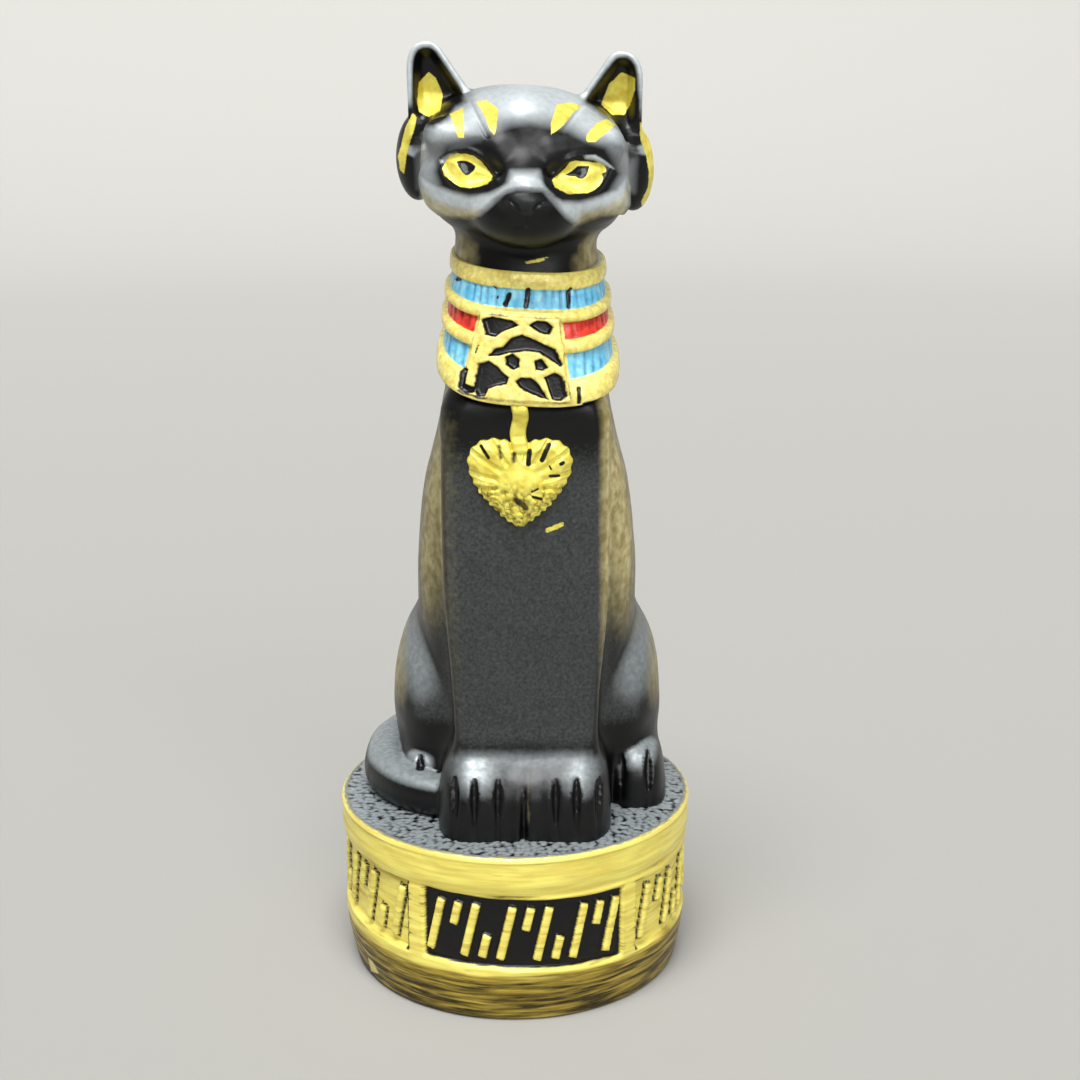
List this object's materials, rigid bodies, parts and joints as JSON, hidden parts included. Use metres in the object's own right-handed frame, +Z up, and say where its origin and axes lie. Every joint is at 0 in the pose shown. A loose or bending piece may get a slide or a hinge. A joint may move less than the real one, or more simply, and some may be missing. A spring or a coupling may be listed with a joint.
{
  "type": "seated bastet cat figure",
  "caption": "Small black and gilt souvenir figure of a seated Bastet cat with collar and heart pendant, on an oval drum base.",
  "frame": {"origin": "middle of the drum's underside", "axes": "+Z up, the cat faces -Y, +X to the viewer's right, which is the cat's left"},
  "size_m": [0.0326, 0.0356, 0.0831],
  "materials": {
    "black_resin_paint": "satin black paint on cast resin, with bronze powder rubbed over the edges",
    "gold_paint": "brushed gold paint, worn dark in the hollows",
    "turquoise_enamel": "glossy turquoise paint in the collar's cells",
    "red_enamel": "glossy red paint in the collar's cells"
  },
  "bodies": {
    "root": {"bastet_cat_figure": "black_resin_paint"}
  },
  "joints": []
}
